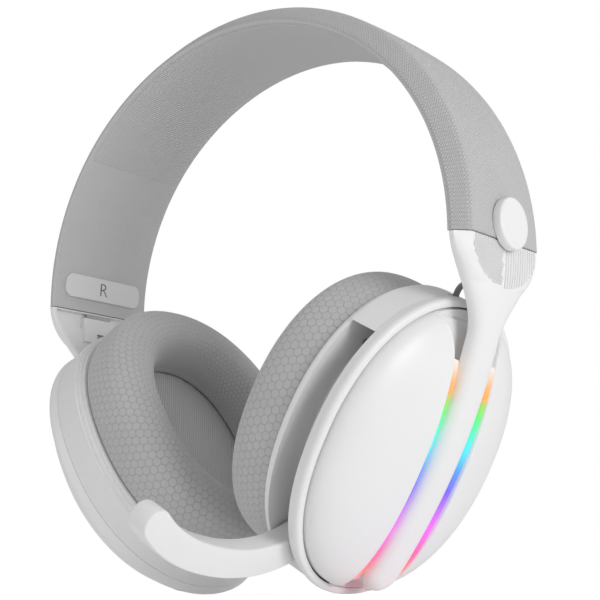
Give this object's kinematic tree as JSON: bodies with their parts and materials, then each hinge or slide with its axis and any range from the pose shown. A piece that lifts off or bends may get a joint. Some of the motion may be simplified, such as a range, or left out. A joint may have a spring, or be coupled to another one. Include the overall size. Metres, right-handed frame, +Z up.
{
  "type": "over-ear gaming headset",
  "caption": "Over-ear headset with a fabric-covered sprung band, two sliding arms, ear cups on ball joints and a fold-away microphone boom.",
  "frame": {"origin": "the point on the underside of the band, in its middle, where it rests on the crown of the head", "axes": "+X towards the wearer's left ear, which has the microphone; -Y forwards, where the boom points; +Z up"},
  "size_m": [0.1884, 0.1385, 0.1951],
  "materials": {
    "shell_white": "satin moulded plastic",
    "trim_grey": "fine matt plastic",
    "inner_dark": "dark engineering plastic",
    "band_fabric": "fine woven twill",
    "pad_fabric": "hexagon knit over foam",
    "speaker_fabric": "fine ribbed acoustic cloth",
    "spring_steel": "brushed",
    "light_diffuser": "milky light diffuser",
    "cable_rubber": "matt flat cable",
    "board_green": "solder mask",
    "cell_wrap": "shrink wrap"
  },
  "bodies": {
    "headband": {"headband_spring": "spring_steel", "headband_frame": "inner_dark", "headband_cover": "band_fabric", "headband_pad": "band_fabric", "left_end_bracket": "inner_dark", "right_end_bracket": "inner_dark", "left_disc_cap": "shell_white", "right_disc_cap": "shell_white", "left_ear_label": "trim_grey", "right_ear_label": "trim_grey", "bracket_screws": "spring_steel"},
    "left_arm": {"left_arm_shell": "shell_white", "left_arm_cover": "trim_grey", "left_size_strip": "spring_steel", "left_ball_stud": "spring_steel", "left_arm_screws": "spring_steel", "left_link_cable": "cable_rubber"},
    "left_gimbal": {"left_ball_liner": "inner_dark"},
    "left_cup": {"left_ball_retainer": "inner_dark", "left_outer_cover": "shell_white", "left_light_bars": "light_diffuser", "left_rim_ring": "shell_white", "left_inner_housing": "shell_white", "left_baffle": "inner_dark", "left_driver_frame": "inner_dark", "left_driver_magnet": "spring_steel", "left_speaker_cloth": "speaker_fabric", "left_pad_plate": "inner_dark", "left_ear_pad": "pad_fabric", "left_cup_screws": "spring_steel", "main_board": "board_green", "usb_port": "spring_steel", "boom_pin": "spring_steel"},
    "right_arm": {"right_arm_shell": "shell_white", "right_arm_cover": "trim_grey", "right_size_strip": "spring_steel", "right_ball_stud": "spring_steel", "right_arm_screws": "spring_steel", "right_link_cable": "cable_rubber"},
    "right_gimbal": {"right_ball_liner": "inner_dark"},
    "right_cup": {"right_ball_retainer": "inner_dark", "right_outer_cover": "shell_white", "right_light_bars": "light_diffuser", "right_rim_ring": "shell_white", "right_inner_housing": "shell_white", "right_baffle": "inner_dark", "right_driver_frame": "inner_dark", "right_driver_magnet": "spring_steel", "right_speaker_cloth": "speaker_fabric", "right_pad_plate": "inner_dark", "right_ear_pad": "pad_fabric", "right_cup_screws": "spring_steel", "battery": "cell_wrap"},
    "boom": {"mic_boom": "shell_white", "mic_boom_cover": "trim_grey", "mic_capsule": "inner_dark"},
    "wheel": {"volume_wheel": "trim_grey"},
    "power": {"power_button": "trim_grey"},
    "mode": {"mode_button": "trim_grey"}
  },
  "joints": [
    {"name": "left_size_slide", "type": "slide", "parent": "headband", "child": "left_arm", "axis": [0, 0, -1], "range_m": [0, 0.02]},
    {"name": "left_cup_tilt", "type": "hinge", "parent": "left_arm", "child": "left_gimbal", "pos_m": [0.05767, 0, -0.14316], "axis": [0, -1, 0], "range_deg": [-2, 4], "deforming": ["left_link_cable"]},
    {"name": "left_cup_swivel", "type": "hinge", "parent": "left_gimbal", "child": "left_cup", "pos_m": [0.05767, 0, -0.14316], "axis": [0.4894, 0, 0.8721], "range_deg": [-4, 4]},
    {"name": "right_size_slide", "type": "slide", "parent": "headband", "child": "right_arm", "axis": [0, 0, -1], "range_m": [0, 0.02]},
    {"name": "right_cup_tilt", "type": "hinge", "parent": "right_arm", "child": "right_gimbal", "pos_m": [-0.05767, 0, -0.14316], "axis": [0, 1, 0], "range_deg": [-2, 4], "deforming": ["right_link_cable"]},
    {"name": "right_cup_swivel", "type": "hinge", "parent": "right_gimbal", "child": "right_cup", "pos_m": [-0.05767, 0, -0.14316], "axis": [-0.4894, 0, 0.8721], "range_deg": [-4, 4]},
    {"name": "boom_hinge", "type": "hinge", "parent": "left_cup", "child": "boom", "pos_m": [0.03334, -0.02507, -0.17221], "axis": [0.8721, 0, -0.4894], "range_deg": [-80.5, 10]},
    {"name": "wheel_turn", "type": "hinge", "parent": "left_cup", "child": "wheel", "pos_m": [0.0533, 0.0366, -0.12694], "axis": [0.8721, 0, -0.4894], "range_deg": [-150, 150]},
    {"name": "power_press", "type": "slide", "parent": "left_cup", "child": "power", "axis": [0, -1, 0], "range_m": [0, 0.0006], "stiffness_N_per_m": 1500},
    {"name": "mode_press", "type": "slide", "parent": "left_cup", "child": "mode", "axis": [0, -1, 0], "range_m": [0, 0.0006], "stiffness_N_per_m": 1500}
  ]
}
